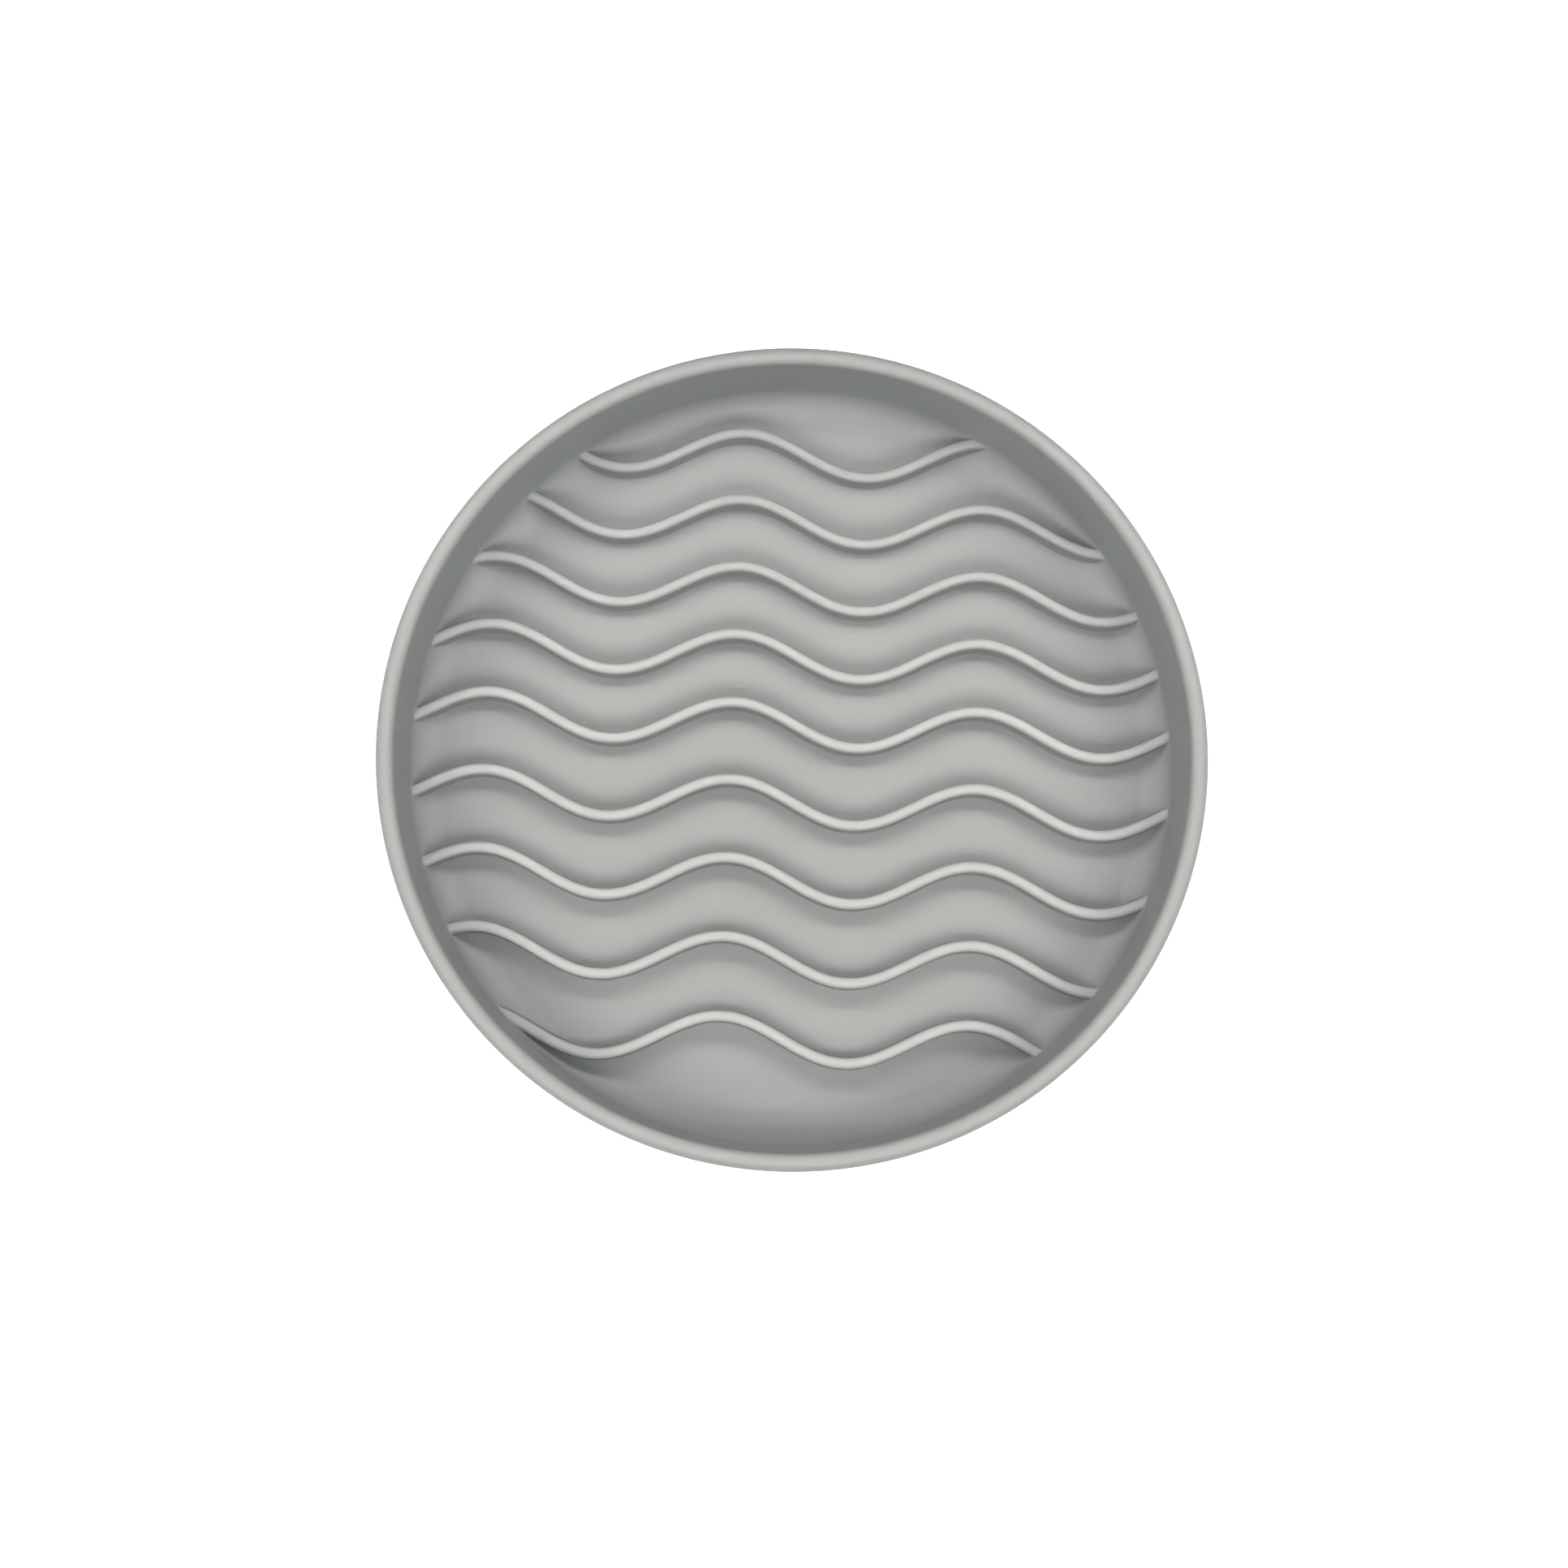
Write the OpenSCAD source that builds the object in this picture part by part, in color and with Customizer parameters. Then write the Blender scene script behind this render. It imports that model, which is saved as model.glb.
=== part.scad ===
// Slow feeder bowl: a shallow round dish with rows of wave-shaped ridges on its floor.
// Millimetres, +Z up. The origin is the middle of the foot, on the surface that the dish stands on.
// The ridges run along X. Row 1 is the rearmost, towards +Y, and the front of the dish is -Y.

/* [Dish] */
// Diameter across the outside of the rim
rim_d = 165; // [150:1:200]
// Width of the rim, seen from above
rim_w = 3.5; // [2.6:0.1:4.2]
// Height of the rounded bead that ends the wall
rim_h = 3; // [2.2:0.1:4.5]
// Width of the flat left along the top of the rim between its rounded edges
rim_flat = 0.2; // [0.2:0.1:2]
// Depth inside, from the rim down to the floor
depth = 20; // [14:0.5:28]
// Radius of the cove where the floor turns up into the wall
cove_r = 6; // [4:0.5:8]
// Lean of the inner wall, in degrees out of plumb, which lets it leave its mould
wall_draft = 3.5; // [1:0.5:6]
// Thickness of the floor
floor_t = 2.5; // [1.8:0.1:4]

/* [Foot] */
// Height of the ring that the dish stands on
foot_h = 1.5; // [0.8:0.1:4]
// Width of that ring where it meets the floor
foot_w = 4; // [2.5:0.1:8]
// Distance from the edge of the flat floor in to the ring
foot_inset = 3; // [1:0.5:12]
// Lean of the ring's sides, in degrees
foot_draft = 8; // [0:1:20]

/* [Wave ridges] */
// Height of a ridge above the floor
ridge_h = 4.5; // [3:0.5:8]
// Width of a ridge just under its rounded top
ridge_w = 2.2; // [1.8:0.1:3.2]
// Lean of a ridge's sides, in degrees
ridge_draft = 2; // [0:0.5:5]
// Radius of the rounded edges along a ridge's top
ridge_round = 0.9; // [0.3:0.1:0.9]
// How far a ridge's round ends run into the wall
ridge_bite = 0.3; // [0.1:0.1:1]
// Length of one wave, crest to crest
wave_len = 50.5; // [40:0.5:65]
// Height of a crest above the middle line of its row
wave_amp = 4.3; // [2.5:0.1:6]
// Place along the row of the crest nearest the middle of the dish
wave_start = -12.3; // [-25:0.1:25]
// Distance of the middle row behind the centre of the dish
middle_row = 7.2; // [0:0.1:10]
// Number of rows behind the middle row
back_rows = 4; // [2:1:5]
// Number of rows in front of the middle row
front_rows = 4; // [2:1:5]
// Room between the wall and the crests of the rearmost row
back_gap = 9.1; // [6:0.1:20]
// Room between the wall and the troughs of the frontmost row
front_gap = 16.5; // [6:0.1:20]

/* [Hidden] */
$fn = 180;
silicone = [0.79, 0.80, 0.79];

// Heights
floor_z = foot_h + floor_t;
cove_z = floor_z + cove_r;
rim_z = floor_z + depth;
bead_z = rim_z - rim_h;
rim_round = (rim_w - rim_flat) / 2;
edge_z = rim_z - rim_round;

// Centres of the rim's two rounded edges, measured out from the axis
outer_edge_r = rim_d / 2 - rim_round;
inner_edge_r = rim_d / 2 - rim_w + rim_round;

// The inner wall touches the cove below and the rim's inner edge above, at the lean that is asked for
wall_rise = edge_z - cove_z;
floor_r = inner_edge_r - (cove_r + rim_round + wall_rise * sin(wall_draft)) / cos(wall_draft);
cove_mid = [floor_r, cove_z];
foot_of_wall = cove_mid + cove_r * [cos(wall_draft), -sin(wall_draft)];
top_of_wall = [inner_edge_r, edge_z] - rim_round * [cos(wall_draft), -sin(wall_draft)];

// The outer wall touches an arc concentric with the cove below and the rim's outer edge above
outer_cove_r = cove_r + floor_t;
to_edge = [outer_edge_r - floor_r, wall_rise];
outer_lean = 90 - atan2(to_edge.y, to_edge.x) - asin((outer_cove_r - rim_round) / norm(to_edge));
foot_of_outer = cove_mid + outer_cove_r * [cos(outer_lean), -sin(outer_lean)];
top_of_outer = [outer_edge_r, edge_z] + rim_round * [cos(outer_lean), -sin(outer_lean)];

// The rows are spread evenly from the middle row to the room left at the wall on each side
ridge_reach = inner_r(floor_z + ridge_h);
back_pitch = (ridge_reach - back_gap - wave_amp - middle_row) / back_rows;
front_pitch = (ridge_reach - front_gap - wave_amp + middle_row) / front_rows;
tip_r = ridge_reach + ridge_bite;
rows = back_rows + 1 + front_rows;
ridge_names = [for (row = [1 : rows]) str("wave_ridge_", row)];

// Steps of the ridge sweep: along one wave, round an end and round a top edge
wave_steps = 20;
end_steps = 4;
edge_steps = 3;
ridge_base_w = ridge_w + 2 * ridge_h * tan(ridge_draft);

// Radius of the inside of the dish at a height below the rim's rounded edge
function inner_r(z) = z < foot_of_wall.y
    ? floor_r + sqrt(cove_r * cove_r - (cove_z - z) * (cove_z - z))
    : foot_of_wall.x + (z - foot_of_wall.y) * tan(wall_draft);

// Radius of the outer wall at a height between its two arcs
function outer_r(z) = foot_of_outer.x + (z - foot_of_outer.y) * tan(outer_lean);

// Middle line of a row, and the wave that its ridge follows, with its slope
function row_y(row) = let (k = back_rows + 1 - row) middle_row + k * (k > 0 ? back_pitch : front_pitch);
function wave_y(row, x) = row_y(row) + wave_amp * cos(360 * (x - wave_start) / wave_len);
function wave_slope(x) = -wave_amp * 2 * PI / wave_len * sin(360 * (x - wave_start) / wave_len);

// Place along the row where the wave reaches the tip radius, found by halving the span
function tip_x(row, near, far, n = 40) = let (x = (near + far) / 2)
    n == 0 ? x
    : norm([x, wave_y(row, x)]) < tip_r ? tip_x(row, x, far, n - 1) : tip_x(row, near, x, n - 1);

// Stations of a ridge, each [x, share of the full width]: a round end, the wave, a round end
function stations(row) =
    let (left = tip_x(row, 0, -tip_r), right = tip_x(row, 0, tip_r))
    let (from = left + end_run(left, 90), to = right - end_run(right, 90))
    let (n = ceil((to - from) / (wave_len / wave_steps)))
    concat(
        [for (i = [1 : end_steps - 1]) let (a = 90 * i / end_steps) [left + end_run(left, a), sin(a)]],
        [for (i = [0 : n]) [from + (to - from) * i / n, 1]],
        [for (i = [end_steps - 1 : -1 : 1]) let (a = 90 * i / end_steps) [right - end_run(right, a), sin(a)]]
    );

// Distance along X from a tip to where its half-round end has turned through an angle
function end_run(x, angle) = ridge_w / 2 * (1 - cos(angle)) / norm([1, wave_slope(x)]);

// Section of a ridge as [across, up], from its left foot over the rounded top to its right foot
function ridge_section(share) =
    let (half = share * ridge_w / 2, round_r = share * ridge_round)
    let (over = [for (i = [0 : edge_steps]) let (a = 90 * i / edge_steps)
        [half - round_r + round_r * cos(a), ridge_h - round_r + round_r * sin(a)]])
    concat(
        [[-share * ridge_base_w / 2, 0]],
        [for (p = over) [-p.x, p.y]],
        [for (i = [edge_steps : -1 : 0]) over[i]],
        [[share * ridge_base_w / 2, 0]]
    );

// A ridge section placed at a station, square to the wave
function placed_section(row, station) =
    let (x = station[0], slope = wave_slope(x), across = [-slope, 1] / norm([1, slope]))
    [for (p = ridge_section(station[1]))
        [x + across.x * p.x, wave_y(row, x) + across.y * p.x, floor_z + p.y]];

// Everything inside the dish up to its rim, deepened under the flat floor, which trims the ridges to the cove
module inside() {
    rotate_extrude() {
        translate(cove_mid) circle(cove_r);
        polygon([
            [0, foot_h], [floor_r, foot_h], cove_mid, foot_of_wall, top_of_wall, [0, top_of_wall.y]
        ]);
    }
}

module dish_floor() {
    color(silicone) translate([0, 0, foot_h]) cylinder(h = floor_t, r = floor_r);
}

// The curved corner between two arcs of one centre, up to the level of that centre
module cove() {
    color(silicone) rotate_extrude() difference() {
        union() {
            intersection() {
                translate(cove_mid) circle(outer_cove_r);
                translate([floor_r, foot_h]) square(outer_cove_r);
            }
            polygon([cove_mid, foot_of_outer, [outer_r(cove_z), cove_z]]);
        }
        translate(cove_mid) circle(cove_r);
        polygon([cove_mid, foot_of_wall, [inner_r(cove_z), cove_z]]);
    }
}

module side_wall() {
    color(silicone) rotate_extrude() polygon([
        [inner_r(cove_z), cove_z], [outer_r(cove_z), cove_z], [outer_r(bead_z), bead_z], [inner_r(bead_z), bead_z]
    ]);
}

// The bead carries the two faces of the wall up to its rounded edges, which stop level with the top of the wall
module rim() {
    color(silicone) rotate_extrude() {
        polygon([
            [inner_r(bead_z), bead_z], [outer_r(bead_z), bead_z], top_of_outer, [outer_edge_r, edge_z],
            [outer_edge_r, rim_z], [inner_edge_r, rim_z], [inner_edge_r, edge_z], top_of_wall
        ]);
        intersection() {
            for (r = [inner_edge_r, outer_edge_r]) translate([r, edge_z]) circle(rim_round);
            translate([0, bead_z]) square([rim_d, rim_h]);
        }
    }
}

module foot_ring() {
    outer = floor_r - foot_inset;
    inner = outer - foot_w;
    lean = foot_h * tan(foot_draft);
    color(silicone) rotate_extrude()
        polygon([[inner, foot_h], [inner + lean, 0], [outer - lean, 0], [outer, foot_h]]);
}

module wave_ridge(row) {
    sections = [for (s = stations(row)) placed_section(row, s)];
    per = len(sections[0]);
    last = len(sections) - 1;
    skin = [for (i = [0 : last - 1], j = [0 : per - 1])
        let (a = i * per + j, b = i * per + (j + 1) % per)
        each [[a, b, b + per], [a, b + per, a + per]]];
    ends = [[for (j = [per - 1 : -1 : 0]) j], [for (j = [0 : per - 1]) last * per + j]];
    color(silicone) intersection() {
        polyhedron(points = [for (s = sections) each s], faces = concat(skin, ends));
        inside();
    }
}

dish_floor();
cove();
side_wall();
rim();
foot_ring();
for (row = [1 : rows]) wave_ridge(row);
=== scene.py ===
# %% [markdown]
# # A slow feeder bowl in pale grey silicone
# The real dish is one soft moulding: a flat floor, a cove that turns it up into a low wall, a rounded rim,
# a foot ring underneath, and nine wave-shaped ridges that spread the food so that an animal eats slowly.
# This lesson makes each region again as a smooth mesh over its CAD solid. The solids have the right sizes,
# but their small flat facets would show on a surface that is as plain and softly lit as this one.

# %% Load the CAD part as a fixed frame
from math import asin, atan2, cos, degrees, hypot, pi, radians, sin, sqrt, tan

import bmesh
import bpy
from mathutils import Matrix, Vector


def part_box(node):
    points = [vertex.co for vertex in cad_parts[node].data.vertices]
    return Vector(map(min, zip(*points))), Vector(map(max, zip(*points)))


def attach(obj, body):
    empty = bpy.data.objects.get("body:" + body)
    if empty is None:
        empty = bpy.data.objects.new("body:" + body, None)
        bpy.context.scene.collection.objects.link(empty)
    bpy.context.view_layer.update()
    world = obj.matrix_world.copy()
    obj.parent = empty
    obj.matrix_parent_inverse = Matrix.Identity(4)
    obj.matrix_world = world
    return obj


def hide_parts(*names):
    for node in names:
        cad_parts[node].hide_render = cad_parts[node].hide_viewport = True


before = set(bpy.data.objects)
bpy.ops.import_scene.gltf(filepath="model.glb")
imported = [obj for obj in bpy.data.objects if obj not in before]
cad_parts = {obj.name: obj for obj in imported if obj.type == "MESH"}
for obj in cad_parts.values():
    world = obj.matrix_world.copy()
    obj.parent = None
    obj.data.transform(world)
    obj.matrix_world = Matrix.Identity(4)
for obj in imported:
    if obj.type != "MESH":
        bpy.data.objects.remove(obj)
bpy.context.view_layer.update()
MM = 0.001
print("CAD nodes:", ", ".join(sorted(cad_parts)))

# %% [markdown]
# ## Sizes
# Most sizes can be read off the CAD boxes, so that the meshes follow the part if it is packed again.
# The few that a box can't tell, such as the width of the rim or the length of a wave, are repeated here.
# A profile point is a pair: its distance from the axis, then its height.

# %% Levels and radii, from the frame
ridge_names = sorted(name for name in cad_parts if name.startswith("wave_ridge_"))
foot_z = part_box("dish_floor")[0].z
floor_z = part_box("dish_floor")[1].z
floor_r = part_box("dish_floor")[1].x
cove_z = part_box("cove")[1].z
bead_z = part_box("side_wall")[1].z
rim_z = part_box("rim")[1].z
rim_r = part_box("rim")[1].x
ridge_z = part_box(ridge_names[0])[1].z
cove_r = cove_z - floor_z
floor_t = floor_z - foot_z
print(f"floor {floor_r / MM:.2f} mm out, rim {rim_r / MM:.2f} mm out and {rim_z / MM:.2f} mm up")
print(f"{len(ridge_names)} ridges, {(ridge_z - floor_z) / MM:.2f} mm tall")

# %% The inner and the outer face of the wall
rim_w = 3.5 * MM
rim_flat = 0.2 * MM
wall_draft = radians(3.5)
edge_r = (rim_w - rim_flat) / 2
inner_edge = Vector((rim_r - rim_w + edge_r, rim_z - edge_r))
outer_edge = Vector((rim_r - edge_r, rim_z - edge_r))
cove_mid = Vector((floor_r, cove_z))
outer_cove_r = cove_r + floor_t


def leaning(angle):
    """Direction that a wall leaning out by this angle faces, as a profile pair."""
    return Vector((cos(angle), -sin(angle)))


to_edge = outer_edge - cove_mid
outer_lean = pi / 2 - atan2(to_edge.y, to_edge.x) - asin((outer_cove_r - edge_r) / to_edge.length)
wall_foot = cove_mid + cove_r * leaning(wall_draft)
wall_top = inner_edge - edge_r * leaning(wall_draft)
outer_foot = cove_mid + outer_cove_r * leaning(outer_lean)
outer_top = outer_edge + edge_r * leaning(outer_lean)


def on_line(low, high, z):
    """Point at a height on the straight line through two profile points."""
    return low.lerp(high, (z - low.y) / (high.y - low.y))


print(f"the wall leans {degrees(wall_draft):.1f} degrees inside and {degrees(outer_lean):.1f} outside")

# %% [markdown]
# ## Turning a profile
# The floor, cove, wall, rim and foot are all round, so each could be a cylinder with bevels.
# A turned profile is closer to how the mould was cut, and it keeps the joins exact: the arcs and lines of
# one piece end where those of the next begin, with the same slope, so that light runs over the join without
# a seam. A spin also draws the arcs of the profile itself, by turning one vertex about the arc's middle.

# %% Tools to draw a profile and to turn it
TURN_STEPS = 288
ARC_STEPS = 40
EDGE_STEPS = 14
MERGE = 1e-7


def line_to(bm, start, point):
    """Draws a straight line of the profile and returns its far vertex."""
    end = bm.verts.new((point[0], 0, point[1]))
    if start is not None:
        bm.edges.new((start, end))
    return end


def arc_to(bm, start, middle, angle, steps):
    """Turns a vertex about a profile point, which draws an arc, and returns its far vertex."""
    turned = bmesh.ops.spin(bm, geom=[start], cent=(middle[0], 0, middle[1]), axis=(0, 1, 0),
                            angle=angle, steps=steps)
    return next(part for part in turned["geom_last"] if isinstance(part, bmesh.types.BMVert))


def turn_profile(bm):
    """Spins the profile once round the axis of the dish and closes its seam and poles."""
    bmesh.ops.spin(bm, geom=bm.verts[:] + bm.edges[:], cent=(0, 0, 0), axis=(0, 0, 1),
                   angle=2 * pi, steps=TURN_STEPS, use_merge=True)
    bmesh.ops.remove_doubles(bm, verts=bm.verts[:], dist=MERGE)
    bmesh.ops.recalc_face_normals(bm, faces=bm.faces[:])


# %% A tool that turns a bmesh into a finished piece of the dish
SHARP = radians(35)
pieces = []


def finish_piece(name, bm, node):
    """Smooths all but the sharp edges, puts the piece in the scene and lets it stand for its CAD node."""
    for edge in bm.edges:
        edge.smooth = edge.calc_face_angle(0) < SHARP
    for face in bm.faces:
        face.smooth = True
    volume = bm.calc_volume() / MM ** 3
    open_edges = sum(not edge.is_manifold for edge in bm.edges)
    mesh = bpy.data.meshes.new(name)
    bm.to_mesh(mesh)
    bm.free()
    piece = bpy.data.objects.new(name, mesh)
    bpy.context.scene.collection.objects.link(piece)
    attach(piece, "root")
    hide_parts(node)
    pieces.append(piece)
    print(f"{name}: {len(mesh.polygons)} faces, {open_edges} open edges, {volume:.0f} cubic mm")


# %% [markdown]
# ## The floor
# The floor is a flat round plate. A capped circle pushed down would do, but its cap would be one face with
# hundreds of corners. Turning three short lines gives a fan with a closed pole in the middle instead.

# %% Turn the floor
bm = bmesh.new()
tip = line_to(bm, None, (0, floor_z))
tip = line_to(bm, tip, (floor_r, floor_z))
tip = line_to(bm, tip, (floor_r, foot_z))
line_to(bm, tip, (0, foot_z))
turn_profile(bm)
finish_piece("silicone_floor", bm, "dish_floor")

# %% [markdown]
# ## The cove and the wall
# The cove lets a tongue, or a washing-up brush, reach the corner. On the mould it is a ball-nosed cut, so its
# section is two arcs about one middle. The wall above it is straight and leans out a little, which lets it
# leave the mould.

# %% Turn the cove
bm = bmesh.new()
start = line_to(bm, None, (floor_r, floor_z))
tip = arc_to(bm, start, cove_mid, wall_draft - pi / 2, ARC_STEPS)
tip = line_to(bm, tip, on_line(wall_foot, wall_top, cove_z))
tip = line_to(bm, tip, on_line(outer_foot, outer_top, cove_z))
tip = line_to(bm, tip, outer_foot)
tip = arc_to(bm, tip, cove_mid, pi / 2 - outer_lean, ARC_STEPS)
bm.edges.new((tip, start))
turn_profile(bm)
finish_piece("silicone_cove", bm, "cove")

# %% Turn the wall
bm = bmesh.new()
start = line_to(bm, None, on_line(wall_foot, wall_top, cove_z))
tip = line_to(bm, start, on_line(wall_foot, wall_top, bead_z))
tip = line_to(bm, tip, on_line(outer_foot, outer_top, bead_z))
tip = line_to(bm, tip, on_line(outer_foot, outer_top, cove_z))
bm.edges.new((tip, start))
turn_profile(bm)
finish_piece("silicone_wall", bm, "side_wall")

# %% [markdown]
# ## The rim
# The rim is almost a half round: two edges of one radius with a narrow flat between them. A bevel on a
# square rim would come close, but the wall's two faces lean differently, so each arc is turned through its
# own angle.

# %% Turn the rim
bm = bmesh.new()
start = line_to(bm, None, on_line(wall_foot, wall_top, bead_z))
tip = line_to(bm, start, wall_top)
tip = arc_to(bm, tip, inner_edge, pi / 2 + wall_draft, EDGE_STEPS)
tip = line_to(bm, tip, (outer_edge.x, rim_z))
tip = arc_to(bm, tip, outer_edge, pi / 2 + outer_lean, EDGE_STEPS)
tip = line_to(bm, tip, on_line(outer_foot, outer_top, bead_z))
bm.edges.new((tip, start))
turn_profile(bm)
finish_piece("silicone_rim", bm, "rim")

# %% [markdown]
# ## The foot ring
# The dish stands on a low ring under the floor. Its two lower edges are rounded with a bevel after the
# turning, because they are the only sharp corners on the outside that a hand would feel.

# %% Turn the foot ring and round the edges that it stands on
FOOT_STEPS = 4
foot_round = 0.4 * MM
foot_w = 4 * MM
foot_draft = radians(8)
foot_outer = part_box("foot_ring")[1].x
foot_lean = foot_z * tan(foot_draft)
bm = bmesh.new()
start = line_to(bm, None, (foot_outer - foot_w, foot_z))
tip = line_to(bm, start, (foot_outer - foot_w + foot_lean, 0))
tip = line_to(bm, tip, (foot_outer - foot_lean, 0))
tip = line_to(bm, tip, (foot_outer, foot_z))
bm.edges.new((tip, start))
turn_profile(bm)
standing = [edge for edge in bm.edges
            if all(vert.co.z < MERGE for vert in edge.verts) and edge.calc_face_angle() > SHARP]
bmesh.ops.bevel(bm, geom=standing, offset=foot_round, segments=FOOT_STEPS, profile=0.5,
                affect="EDGES", material=-1)
finish_piece("silicone_foot", bm, "foot_ring")

# %% [markdown]
# ## The wave ridges
# Each ridge is a thin fin that follows a sine wave across the floor, with a rounded top, a small fillet at
# its foot and ends that run out into the cove. A curve with a bevel profile would sweep it, but could not
# lift its foot onto the cove. So a straight bar comes first: a flat strip is extruded level by level, each
# level as wide as the section there. The bar is then bent along the wave and set down on the dish, with its
# ends sunk into the cove, because the real ridges show no end face: their tops just stop where the wall
# rises past them.

# %% The section of a ridge, as levels
ridge_h = ridge_z - floor_z
ridge_w = 2.2 * MM
ridge_draft = radians(2)
ridge_round = 0.9 * MM
ridge_fillet = 0.2 * MM
FILLET_STEPS = 3
ROUND_STEPS = 7


def side_half(height):
    """Half the width of a ridge on its straight side, where the draft widens it downwards."""
    return ridge_w / 2 + (ridge_h - ridge_round - height) * tan(ridge_draft)


levels = []
for step in range(FILLET_STEPS + 1):
    angle = pi / 2 * step / FILLET_STEPS
    run_out = ridge_fillet * (1 - sin(angle))
    levels.append((ridge_fillet * (1 - cos(angle)), side_half(ridge_fillet) + run_out))
for step in range(ROUND_STEPS + 1):
    angle = pi / 2 * step / ROUND_STEPS
    draw_in = ridge_round * (1 - cos(angle))
    levels.append((ridge_h - ridge_round * (1 - sin(angle)), ridge_w / 2 - draw_in))
print(f"a ridge has {len(levels)} levels and is {2 * levels[0][1] / MM:.2f} mm wide at its foot")

# %% The wave, and the surface that a ridge stands on
wave_len = 50.5 * MM
wave_amp = 4.3 * MM
wave_start = -12.3 * MM
tip_bite = 0.4 * MM


def inside_z(r):
    """Height of the inside of the dish at a distance from its axis."""
    if r <= floor_r:
        return floor_z
    if r < wall_foot.x:
        return cove_z - sqrt(cove_r ** 2 - (r - floor_r) ** 2)
    return wall_foot.y + (r - wall_foot.x) / tan(wall_draft)


def set_on_wave(along, across, height, row_y):
    """Place on the dish of a point of the straight bar."""
    phase = 2 * pi * (along - wave_start) / wave_len
    slope = -wave_amp * 2 * pi / wave_len * sin(phase)
    square = Vector((-slope, 1)).normalized()
    x = along + square.x * across
    y = row_y + wave_amp * cos(phase) + square.y * across
    ground = min(inside_z(hypot(x, y)), ridge_z - tip_bite)
    share = min(1, (ridge_z - ground) / (ridge_fillet + ridge_round))
    if height < ridge_fillet + MERGE:
        return Vector((x, y, ground + height * share))
    return Vector((x, y, ridge_z - (ridge_h - height) * share))


# %% Build a bar for each row and set it on its wave
CELL = 0.6 * MM
strip_w = 2 * levels[0][1]


def wave_ridge(node):
    """Extrudes a straight bar, longer by its width than the row's CAD solid, then bends it along the wave."""
    low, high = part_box(node)
    row_y = (low.y + high.y) / 2
    middle = (low.x + high.x) / 2
    length = high.x - low.x + strip_w
    bm = bmesh.new()
    bmesh.ops.create_grid(bm, x_segments=round(length / CELL), y_segments=2, size=0.5)
    bmesh.ops.scale(bm, vec=(length, strip_w, 1), verts=bm.verts[:])
    plate = bm.verts[:] + bm.edges[:] + bm.faces[:]
    for below, level in zip(levels, levels[1:]):
        raised = bmesh.ops.extrude_face_region(bm, geom=plate, use_keep_orig=below is levels[0])
        plate = raised["geom"]
        verts = [part for part in plate if isinstance(part, bmesh.types.BMVert)]
        bmesh.ops.scale(bm, vec=(1, level[1] / below[1], 1), verts=verts)
        bmesh.ops.translate(bm, vec=(0, 0, level[0] - below[0]), verts=verts)
    for vert in bm.verts:
        vert.co = set_on_wave(middle + vert.co.x, vert.co.y, vert.co.z, row_y)
    bmesh.ops.recalc_face_normals(bm, faces=bm.faces[:])
    finish_piece("silicone_" + node.removeprefix("wave_"), bm, node)


for ridge_name in ridge_names:
    wave_ridge(ridge_name)

# %% [markdown]
# ## Silicone
# Food-grade silicone in this pale grey is matt, a little soft to the touch, and never quite even: the mould
# leaves a fine grain and the pigment drifts slightly. The rim and the tops of the ridges carry a painted
# highlight, a paler grey for the light that falls on them, strongest at the front and fading out at a ridge's
# tips, under the wall, where the wall's shade falls. The sides of the ridges carry painted shade, a deeper
# grey.
# A plain grey with some roughness would look like paint. Here noise at three scales drives the colour, the
# roughness and a very shallow bump. The maths is written as Python on sockets, to keep it readable.

# %% A socket that understands arithmetic


class Socket:
    """An output of a node. Arithmetic on it adds Math nodes to its tree."""

    def __init__(self, tree, output=None):
        self.tree = tree
        self.output = output

    def add(self, kind, settings, inputs, output=0):
        """Adds any node: its settings first, then the values or links of its sockets."""
        node = self.tree.nodes.new(kind)
        for name, value in settings.items():
            setattr(node, name, value)
        for name, value in inputs.items():
            if isinstance(value, Socket):
                self.tree.links.new(value.output, node.inputs[name])
            else:
                node.inputs[name].default_value = value
        return Socket(self.tree, node.outputs[output] if node.outputs else None)

    def maths(self, operation, first, second):
        """Adds one Math node."""
        return self.add("ShaderNodeMath", {"operation": operation}, {0: first, 1: second})

    def __add__(self, other):
        return self.maths("ADD", self, other)

    def __sub__(self, other):
        return self.maths("SUBTRACT", self, other)

    def __mul__(self, other):
        return self.maths("MULTIPLY", self, other)

    def __radd__(self, other):
        return self.maths("ADD", other, self)

    def __rsub__(self, other):
        return self.maths("SUBTRACT", other, self)

    def __rmul__(self, other):
        return self.maths("MULTIPLY", other, self)


# %% The silicone of the dish
GREY = (0.448, 0.481, 0.476, 1)
# Painted shade: a deeper grey for the ridges, which darkens their sides
PAINTED_SHADE_GREY = (0.396, 0.426, 0.421, 1)
# Painted highlight: the paler grey that the ridge tops and the rim are mixed towards
PAINTED_HIGHLIGHT_GREY = (0.591, 0.626, 0.620, 1)
# The painted highlight rises over this height below a top
HIGHLIGHT_RUN = 1.7 * MM
# The painted highlight fades out over this run under the wall, as painted shade there
HIGHLIGHT_FADE_RUN = 2.5 * MM
# The painted highlight weakens from the front towards the back over this span
FRONT_RUN = (130 * MM, -20 * MM)
GRAIN_DEPTH = 0.12 * MM
SILICONE_IOR = 1.41


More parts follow.
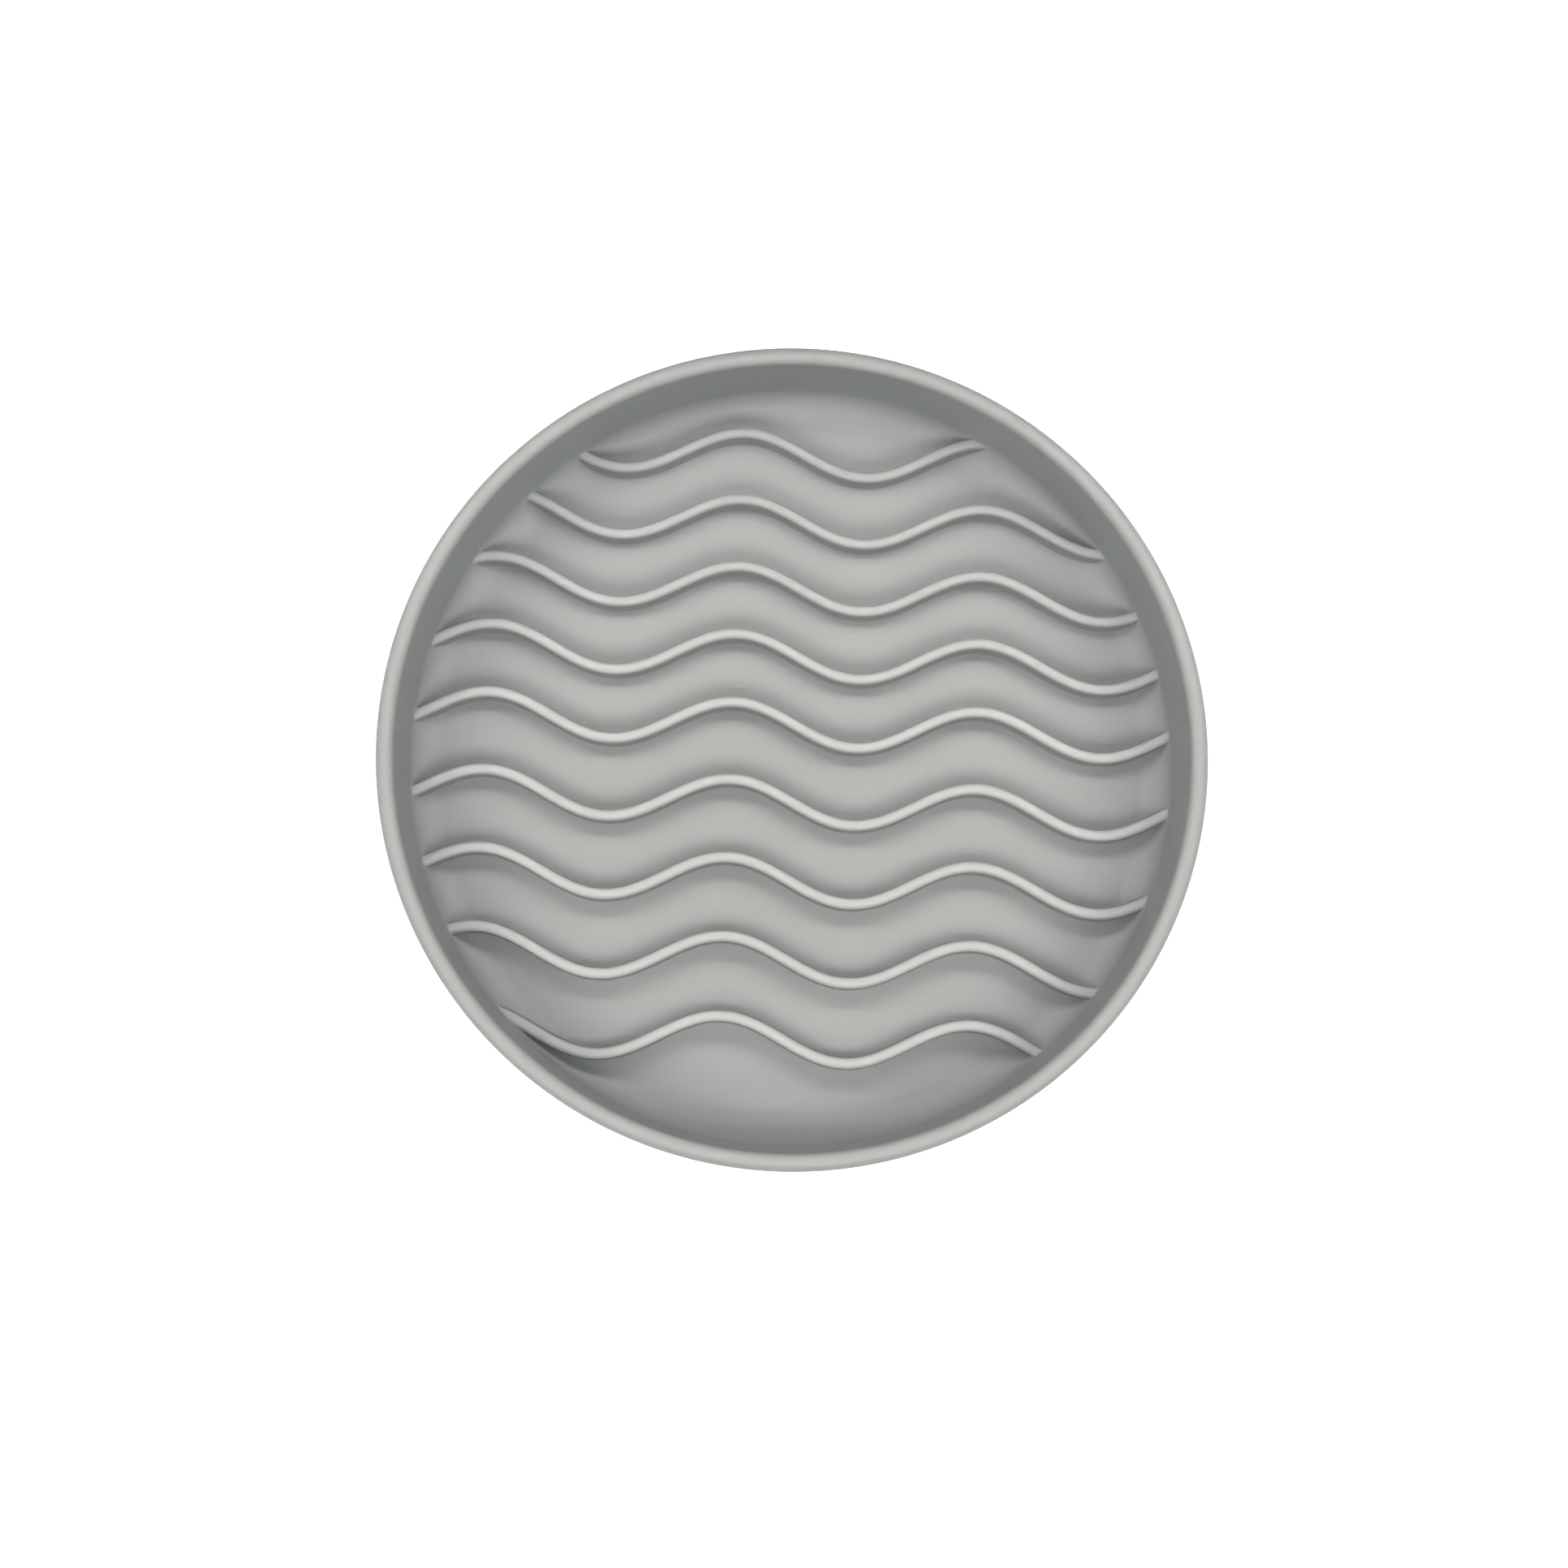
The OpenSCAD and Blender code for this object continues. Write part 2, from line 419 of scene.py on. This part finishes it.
def silicone(name, grey, highlight_z, reach, highlight_strength):
    """Matt silicone with a painted highlight towards a height, fading to nothing at a distance from the axis
    and strongest at the front.
    """
    material = bpy.data.materials.new(name)
    material.use_nodes = True
    material.node_tree.nodes.clear()
    start = Socket(material.node_tree)
    place = start.add("ShaderNodeTexCoord", {}, {}, "Object")
    depth = start.add("ShaderNodeSeparateXYZ", {}, {"Vector": place}, "Y")
    height = start.add("ShaderNodeSeparateXYZ", {}, {"Vector": place}, "Z")
    out = start.add("ShaderNodeVectorMath", {"operation": "LENGTH"}, {0: place}, "Value")
    drift, speckle, grain = (
        start.add("ShaderNodeTexNoise", {}, {"Vector": place, "Scale": scale, "Detail": detail})
        for scale, detail in ((38.0, 2.0), (420.0, 3.0), (1900.0, 2.0)))
    high = start.add("ShaderNodeMapRange", {"interpolation_type": "SMOOTHSTEP"},
                     {"Value": height, "From Min": highlight_z - HIGHLIGHT_RUN, "From Max": highlight_z})
    away = start.add("ShaderNodeMapRange", {"interpolation_type": "SMOOTHSTEP"},
                     {"Value": out, "From Min": reach, "From Max": reach - HIGHLIGHT_FADE_RUN})
    front = start.add("ShaderNodeMapRange", {},
                      {"Value": depth, "From Min": FRONT_RUN[0], "From Max": FRONT_RUN[1]})
    # The painted highlight: paler towards the top, fading out under the wall as painted shade there, and
    # strongest at the front
    painted_highlight = high * away * front
    # The noises average a half, so the last number brings a place without the painted highlight back near its
    # grey
    shade = 0.16 * drift + 0.08 * speckle + highlight_strength * painted_highlight - 0.09
    colour = start.add("ShaderNodeMix", {"data_type": "RGBA"}, {0: shade, 6: grey, 7: PAINTED_HIGHLIGHT_GREY}, 2)
    roughness = 0.46 + 0.10 * speckle + 0.08 * grain - 0.05 * painted_highlight
    relief = 0.7 * grain + 0.3 * speckle
    bump = start.add("ShaderNodeBump", {}, {"Strength": 0.10, "Distance": GRAIN_DEPTH, "Height": relief})
    skin = start.add("ShaderNodeBsdfPrincipled", {},
                     {"Base Color": colour, "Roughness": roughness, "Normal": bump, "IOR": SILICONE_IOR})
    start.add("ShaderNodeOutputMaterial", {}, {"Surface": skin})
    print(f"{name}: {len(material.node_tree.nodes)} nodes")
    return material


# The painted highlight on the ridges fades out just past the foot of the wall, as painted shade there; on the
# rim it doesn't fade
ridge_highlight_end = wall_foot.x + 1.5 * MM
dish_highlight_end = 2 * rim_r
# How strong the painted highlight is on the ridges and on the rim
ridge_highlight_strength = 1.2
rim_highlight_strength = 0.3
ridge_silicone = silicone("ridge_silicone", PAINTED_SHADE_GREY, ridge_z, ridge_highlight_end, ridge_highlight_strength)
dish_silicone = silicone("dish_silicone", GREY, rim_z, dish_highlight_end, rim_highlight_strength)
for piece in pieces:
    piece.data.materials.append(ridge_silicone if "ridge" in piece.name else dish_silicone)

# %% [markdown]
# ## The table and the light
# The dish stands on a plain white table that fades into a white room, as in a shop's picture. The table
# glows, which keeps it white close to the dish. Long panels hang above and ahead of the dish, and square ones
# stand at its sides and rear corners, so that light reaches every wall. Four thin strips hang low over the
# dish. They give each ridge a shadow with a clear edge on both of its sides. One big panel would be simpler,
# but it would wash those shadows out.

# %% A white table
TABLE_R = 4.0
TABLE_SIDES = 96
TABLE_GREY = 0.3
TABLE_ROUGHNESS = 0.8
TABLE_GLOW = 1.0
bm = bmesh.new()
bmesh.ops.create_circle(bm, cap_ends=True, segments=TABLE_SIDES, radius=TABLE_R)
table_mesh = bpy.data.meshes.new("white_table")
bm.to_mesh(table_mesh)
bm.free()
table = bpy.data.objects.new("white_table", table_mesh)
bpy.context.scene.collection.objects.link(table)

table_white = bpy.data.materials.new("table_white")
table_white.use_nodes = True
table_skin = table_white.node_tree.nodes["Principled BSDF"]
table_skin.inputs["Base Color"].default_value = (TABLE_GREY, TABLE_GREY, TABLE_GREY, 1)
table_skin.inputs["Roughness"].default_value = TABLE_ROUGHNESS
table_skin.inputs["Emission Color"].default_value = (1, 1, 1, 1)
table_skin.inputs["Emission Strength"].default_value = TABLE_GLOW
table_mesh.materials.append(table_white)
print("the table is", 2 * TABLE_R, "m across")

# %% A pale room, bright only where the camera sees it
ROOM_LIGHT = 0.01
room = bpy.data.worlds.new("pale_room")
room.use_nodes = True
room.node_tree.nodes.clear()
start = Socket(room.node_tree)
seen = start.add("ShaderNodeLightPath", {}, {}, "Is Camera Ray")
sky = start.add("ShaderNodeBackground", {},
                {"Color": (1, 1, 1, 1), "Strength": ROOM_LIGHT + (1 - ROOM_LIGHT) * seen})
start.add("ShaderNodeOutputWorld", {}, {"Surface": sky})
bpy.context.scene.world = room
print("light from the room:", ROOM_LIGHT)

# %% Soft panels round the dish
WARM = (1.0, 0.932, 0.903)
COOL = (0.985, 0.940, 0.932)
MIDDLE = Vector((0, 0, 0))


def soft_panel(name, place, target, size, power, tint):
    """Adds a light panel of a width and a height, in metres, that faces a point."""
    light = bpy.data.lights.new(name, "AREA")
    light.shape = "RECTANGLE"
    light.size = size[0]
    light.size_y = size[1]
    light.energy = power
    light.color = tint
    panel = bpy.data.objects.new(name, light)
    panel.location = place
    panel.rotation_euler = (target - place).to_track_quat("-Z", "Y").to_euler()
    panel.visible_camera = False
    bpy.context.scene.collection.objects.link(panel)
    print(f"{name}: {power} W from {place.length:.2f} m away")


def on_dome(distance, azimuth, zenith):
    """Place on a dome over the dish, turned from its right side, and down from straight above."""
    turn = radians(azimuth)
    drop = radians(zenith)
    return distance * Vector((sin(drop) * cos(turn), sin(drop) * sin(turn), cos(drop)))


# %% Hang long panels, each at an azimuth and a zenith, with its width and power
LONG_AWAY = 0.8
LONG_PANEL = 0.6
for name, azimuth, zenith, width, power in (
        ("top_panel", 90, 0, 0.14, 0.805),
        ("front_panel", 270, 50, 0.14, 0.625),
        ("slim_front_panel", 270, 40, 0.03, 0.303)):
    soft_panel(name, on_dome(LONG_AWAY, azimuth, zenith), MIDDLE, (LONG_PANEL, width), power, WARM)

# %% Hang square panels, each at an azimuth and a zenith, with its power
SQUARE_AWAY = 0.7
SQUARE_PANEL = 0.3
for name, azimuth, zenith, power in (
        ("right_panel", 0, 50, 0.556),
        ("left_panel", 180, 50, 0.618),
        ("back_right_panel", 45, 48, 0.418),
        ("back_left_panel", 135, 48, 0.297)):
    soft_panel(name, on_dome(SQUARE_AWAY, azimuth, zenith), MIDDLE, (SQUARE_PANEL, SQUARE_PANEL), power, WARM)

# %% Hang thin strips low over the dish, each along a line across it, at a depth and a height, with its power
STRIP = (0.5, 0.012)
PAST_MIDDLE = 0.3
for name, y, z, power in (
        ("back_strip", 0.08, 0.13, 0.194),
        ("far_back_strip", 0.12, 0.13, 0.070),
        ("low_front_strip", -0.12, 0.13, 0.121),
        ("high_front_strip", -0.12, 0.2, 0.237)):
    soft_panel(name, Vector((0, y, z)), Vector((0, -PAST_MIDDLE * y, 0)), STRIP, power, COOL)

# %% [markdown]
# ## The camera
# The camera hangs over the dish, a little ahead of its middle, so the front wall hides its own inner face
# and the rear wall shows most of it. Its place and turn were worked out from the rim's outline and from the
# crests and troughs of the ridges. No film curve lies over the picture, only a lower gamma, which deepens the
# shadows a little, as in shop pictures.

# %% Hang the camera over the dish
LENS_LENGTH = 44.23
SENSOR_WIDTH = 36
NEAREST = 0.01
CAMERA_PLACE = (-6.54 * MM, -58.01 * MM, 400 * MM)
CAMERA_TURN = (radians(7.632), radians(-1.056), radians(2.275))
PICTURE_GAMMA = 0.7
lens_data = bpy.data.cameras.new("camera")
lens_data.lens = LENS_LENGTH
lens_data.sensor_width = SENSOR_WIDTH
lens_data.clip_start = NEAREST
camera = bpy.data.objects.new("camera", lens_data)
camera.location = CAMERA_PLACE
camera.rotation_euler = CAMERA_TURN
bpy.context.scene.collection.objects.link(camera)
bpy.context.scene.camera = camera
bpy.context.scene.view_settings.view_transform = "Standard"
bpy.context.scene.view_settings.gamma = PICTURE_GAMMA
print(f"the camera hangs {camera.location.z / MM:.0f} mm over the table")
